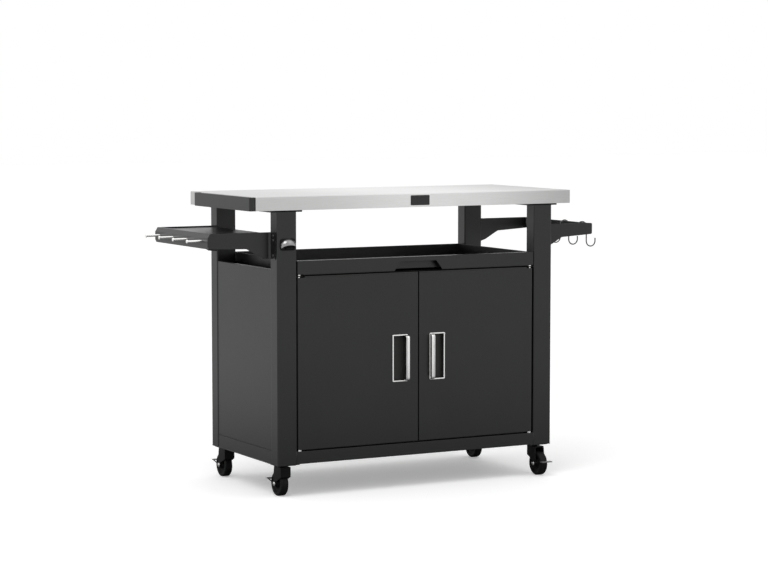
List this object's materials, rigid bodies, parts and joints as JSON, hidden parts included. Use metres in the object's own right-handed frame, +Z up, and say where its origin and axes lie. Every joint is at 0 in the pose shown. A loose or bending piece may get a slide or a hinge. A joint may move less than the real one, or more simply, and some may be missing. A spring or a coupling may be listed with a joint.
{
  "type": "outdoor kitchen island",
  "caption": "Rolling outdoor kitchen island: steel worktop on posts over a pull-out tray and a two-door cabinet, with a spice shelf, hook rack, knife slot and braked casters.",
  "frame": {"origin": "Floor level, at the middle of the outline seen from above, pegs, hooks and pedals included.", "axes": "+Z up, the doors face -Y, the spice shelf is at -X and the hook rack at +X."},
  "size_m": [1.452, 0.567, 0.914],
  "materials": {
    "charcoal": "satin charcoal powder coat",
    "stainless": "brushed along the length",
    "satin_chrome": "satin plated steel",
    "dark_cup": "matte black",
    "zinc": "zinc plated",
    "caster_black": "black paint",
    "wheel_black": "black tread on a black hub",
    "pedal_grey": "light grey"
  },
  "bodies": {
    "cart": {"worktop": "stainless", "top_beam_left": "charcoal", "top_beam_right": "charcoal", "knife_holder": "charcoal", "post_front_left": "charcoal", "post_front_right": "charcoal", "post_rear_left": "charcoal", "post_rear_right": "charcoal", "base_rail_left": "charcoal", "base_rail_right": "charcoal", "base_rail_front": "charcoal", "base_rail_rear": "charcoal", "cabinet_floor": "charcoal", "back_panel": "charcoal", "side_panel_left": "charcoal", "side_panel_right": "charcoal", "header_rail": "charcoal", "tray_runner_left": "charcoal", "tray_runner_right": "charcoal", "shelf_arm_front": "charcoal", "shelf_arm_rear": "charcoal", "spice_shelf": "charcoal", "hook_arm_front": "charcoal", "hook_arm_rear": "charcoal", "hook_rail": "charcoal", "blank_plate": "charcoal", "hinge_pins_left": "satin_chrome", "hinge_pins_right": "satin_chrome", "tool_pegs": "satin_chrome", "bottle_opener": "satin_chrome", "caster_plates": "caster_black"},
    "left_door": {"door_left": "charcoal", "handle_left": "satin_chrome", "handle_cup_left": "dark_cup"},
    "right_door": {"door_right": "charcoal", "handle_right": "satin_chrome", "handle_cup_right": "dark_cup"},
    "pull_out_tray": {"tray": "charcoal"},
    "caster_front_left": {"fork_front_left": "caster_black", "axle_front_left": "zinc"},
    "roller_front_left": {"wheel_front_left": "wheel_black"},
    "brake_front_left": {"pedal_front_left": "pedal_grey"},
    "caster_front_right": {"fork_front_right": "caster_black", "axle_front_right": "zinc"},
    "roller_front_right": {"wheel_front_right": "wheel_black"},
    "brake_front_right": {"pedal_front_right": "pedal_grey"},
    "caster_rear_left": {"fork_rear_left": "caster_black", "axle_rear_left": "zinc"},
    "roller_rear_left": {"wheel_rear_left": "wheel_black"},
    "brake_rear_left": {"pedal_rear_left": "pedal_grey"},
    "caster_rear_right": {"fork_rear_right": "caster_black", "axle_rear_right": "zinc"},
    "roller_rear_right": {"wheel_rear_right": "wheel_black"},
    "brake_rear_right": {"pedal_rear_right": "pedal_grey"},
    "hook_1": {"s_hook_1": "satin_chrome"},
    "hook_2": {"s_hook_2": "satin_chrome"},
    "hook_3": {"s_hook_3": "satin_chrome"},
    "hook_4": {"s_hook_4": "satin_chrome"}
  },
  "joints": [
    {"name": "left_door_hinge", "type": "hinge", "parent": "cart", "child": "left_door", "pos_m": [-0.3915, -0.233, 0.4065], "axis": [0, 0, -1], "range_deg": [0, 100]},
    {"name": "right_door_hinge", "type": "hinge", "parent": "cart", "child": "right_door", "pos_m": [0.4255, -0.233, 0.4065], "axis": [0, 0, 1], "range_deg": [0, 100]},
    {"name": "tray_slide", "type": "slide", "parent": "cart", "child": "pull_out_tray", "axis": [0, -1, 0], "range_m": [0, 0.3]},
    {"name": "swivel_front_left", "type": "hinge", "parent": "cart", "child": "caster_front_left", "pos_m": [-0.433, -0.204, 0.09], "axis": [0, 0, 1], "continuous": true},
    {"name": "spin_front_left", "type": "hinge", "parent": "caster_front_left", "child": "roller_front_left", "pos_m": [-0.433, -0.182, 0.0375], "axis": [1, 0, 0], "continuous": true},
    {"name": "press_front_left", "type": "hinge", "parent": "caster_front_left", "child": "brake_front_left", "pos_m": [-0.433, -0.182, 0.0375], "axis": [-1, 0, 0], "range_deg": [0, 12]},
    {"name": "swivel_front_right", "type": "hinge", "parent": "cart", "child": "caster_front_right", "pos_m": [0.467, -0.204, 0.09], "axis": [0, 0, 1], "continuous": true},
    {"name": "spin_front_right", "type": "hinge", "parent": "caster_front_right", "child": "roller_front_right", "pos_m": [0.467, -0.226, 0.0375], "axis": [1, 0, 0], "continuous": true},
    {"name": "press_front_right", "type": "hinge", "parent": "caster_front_right", "child": "brake_front_right", "pos_m": [0.467, -0.226, 0.0375], "axis": [1, 0, 0], "range_deg": [0, 12]},
    {"name": "swivel_rear_left", "type": "hinge", "parent": "cart", "child": "caster_rear_left", "pos_m": [-0.433, 0.204, 0.09], "axis": [0, 0, 1], "continuous": true},
    {"name": "spin_rear_left", "type": "hinge", "parent": "caster_rear_left", "child": "roller_rear_left", "pos_m": [-0.433, 0.226, 0.0375], "axis": [1, 0, 0], "continuous": true},
    {"name": "press_rear_left", "type": "hinge", "parent": "caster_rear_left", "child": "brake_rear_left", "pos_m": [-0.433, 0.226, 0.0375], "axis": [-1, 0, 0], "range_deg": [0, 12]},
    {"name": "swivel_rear_right", "type": "hinge", "parent": "cart", "child": "caster_rear_right", "pos_m": [0.467, 0.204, 0.09], "axis": [0, 0, 1], "continuous": true},
    {"name": "spin_rear_right", "type": "hinge", "parent": "caster_rear_right", "child": "roller_rear_right", "pos_m": [0.467, 0.182, 0.0375], "axis": [1, 0, 0], "continuous": true},
    {"name": "press_rear_right", "type": "hinge", "parent": "caster_rear_right", "child": "brake_rear_right", "pos_m": [0.467, 0.182, 0.0375], "axis": [1, 0, 0], "range_deg": [0, 12]},
    {"name": "hook_swing_1", "type": "hinge", "parent": "cart", "child": "hook_1", "pos_m": [0.673, -0.1575, 0.803], "axis": [0, 1, 0], "range_deg": [-12, 12]},
    {"name": "hook_swing_2", "type": "hinge", "parent": "cart", "child": "hook_2", "pos_m": [0.673, -0.0525, 0.803], "axis": [0, 1, 0], "range_deg": [-12, 12]},
    {"name": "hook_swing_3", "type": "hinge", "parent": "cart", "child": "hook_3", "pos_m": [0.673, 0.0525, 0.803], "axis": [0, 1, 0], "range_deg": [-12, 12]},
    {"name": "hook_swing_4", "type": "hinge", "parent": "cart", "child": "hook_4", "pos_m": [0.673, 0.1575, 0.803], "axis": [0, 1, 0], "range_deg": [-12, 12]}
  ]
}
